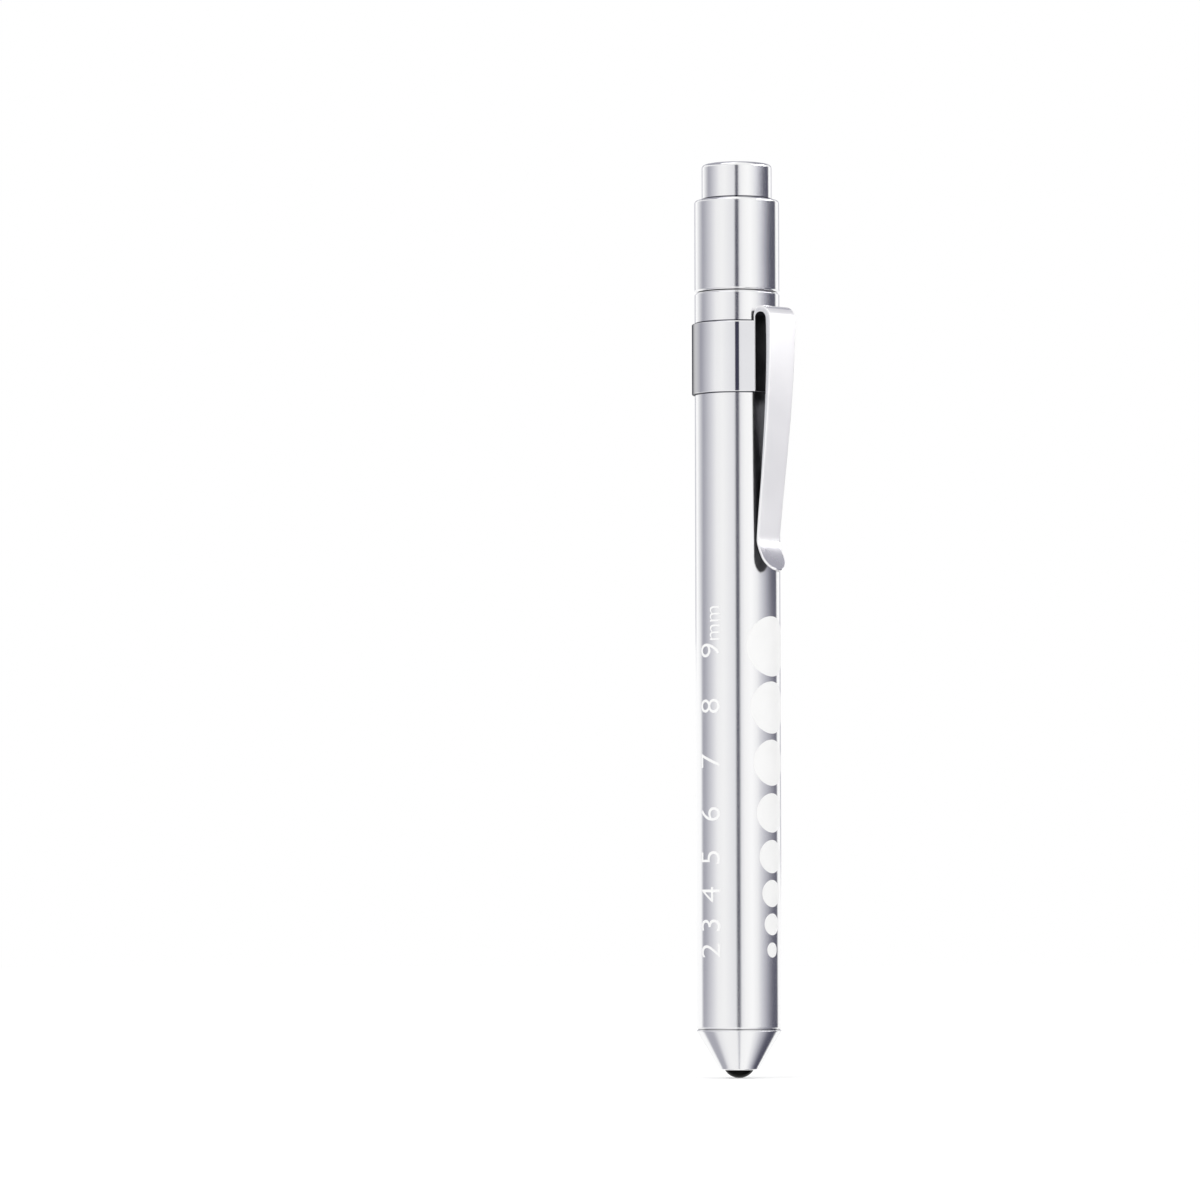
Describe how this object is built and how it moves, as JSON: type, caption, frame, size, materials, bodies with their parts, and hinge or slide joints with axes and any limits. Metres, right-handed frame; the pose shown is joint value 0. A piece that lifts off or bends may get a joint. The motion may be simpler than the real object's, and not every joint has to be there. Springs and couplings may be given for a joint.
{
  "type": "penlight",
  "caption": "Slim metal penlight with a cone nose, a sprung pocket clip, a printed dot gauge and a push button on a screw-off tail cap.",
  "frame": {"origin": "on the barrel's middle line, at the lowest point of the lamp's dome", "axes": "+Z along the barrel from the lamp to the push button, +X towards the pocket clip"},
  "size_m": [0.0166, 0.0134, 0.1354],
  "materials": {
    "satin_aluminium": "satin",
    "clip_steel": "satin",
    "lamp_lens": "gloss",
    "plated_wire": "satin",
    "spring_steel": "satin",
    "contact_brass": "satin",
    "black_plastic": "matte",
    "board_green": "satin",
    "chip_black": "matte",
    "cell_jacket": "gloss",
    "seal_rubber": "matte"
  },
  "bodies": {
    "barrel": {"barrel": "satin_aluminium", "nose_cone": "satin_aluminium", "led_lens": "lamp_lens", "led_leads": "plated_wire", "led_holder": "black_plastic", "ground_ring": "contact_brass", "lamp_board": "board_green", "lamp_resistor": "chip_black", "lamp_contact": "contact_brass", "front_cell": "cell_jacket", "rear_cell": "cell_jacket", "clip_band": "clip_steel"},
    "clip_arm": {"clip_arm": "clip_steel"},
    "tail_spring": {"tail_spring": "spring_steel"},
    "tail_cap": {"tail_cap": "satin_aluminium", "thread_insert": "contact_brass", "seal_ring": "seal_rubber", "switch_body": "black_plastic", "tail_contact": "contact_brass", "switch_retainer": "contact_brass", "button_spring": "spring_steel"},
    "push_button": {"push_button": "satin_aluminium", "switch_plunger": "contact_brass", "contact_bridge": "plated_wire"}
  },
  "joints": [
    {"name": "clip_flex", "type": "hinge", "parent": "barrel", "child": "clip_arm", "pos_m": [0.00992, 0, 0.11158], "axis": [0, -1, 0], "range_deg": [0, 6], "stiffness_Nm_per_rad": 1.5, "springref_deg": -1.15},
    {"name": "cap_lift", "type": "slide", "parent": "barrel", "child": "tail_spring", "axis": [0, 0, 1], "range_m": [0, 0.006]},
    {"name": "cap_turn", "type": "hinge", "parent": "tail_spring", "child": "tail_cap", "pos_m": [0, 0, 0.1162], "axis": [0, 0, 1], "range_deg": [0, 2880]},
    {"name": "button_press", "type": "slide", "parent": "tail_cap", "child": "push_button", "axis": [0, 0, -1], "range_m": [0, 0.0022], "stiffness_N_per_m": 600, "springref_m": -0.002, "deforming": ["button_spring"]}
  ],
  "couplings": [
    {"joint": "cap_lift", "follows": "cap_turn", "m_per_rad": 0.00011937}
  ]
}
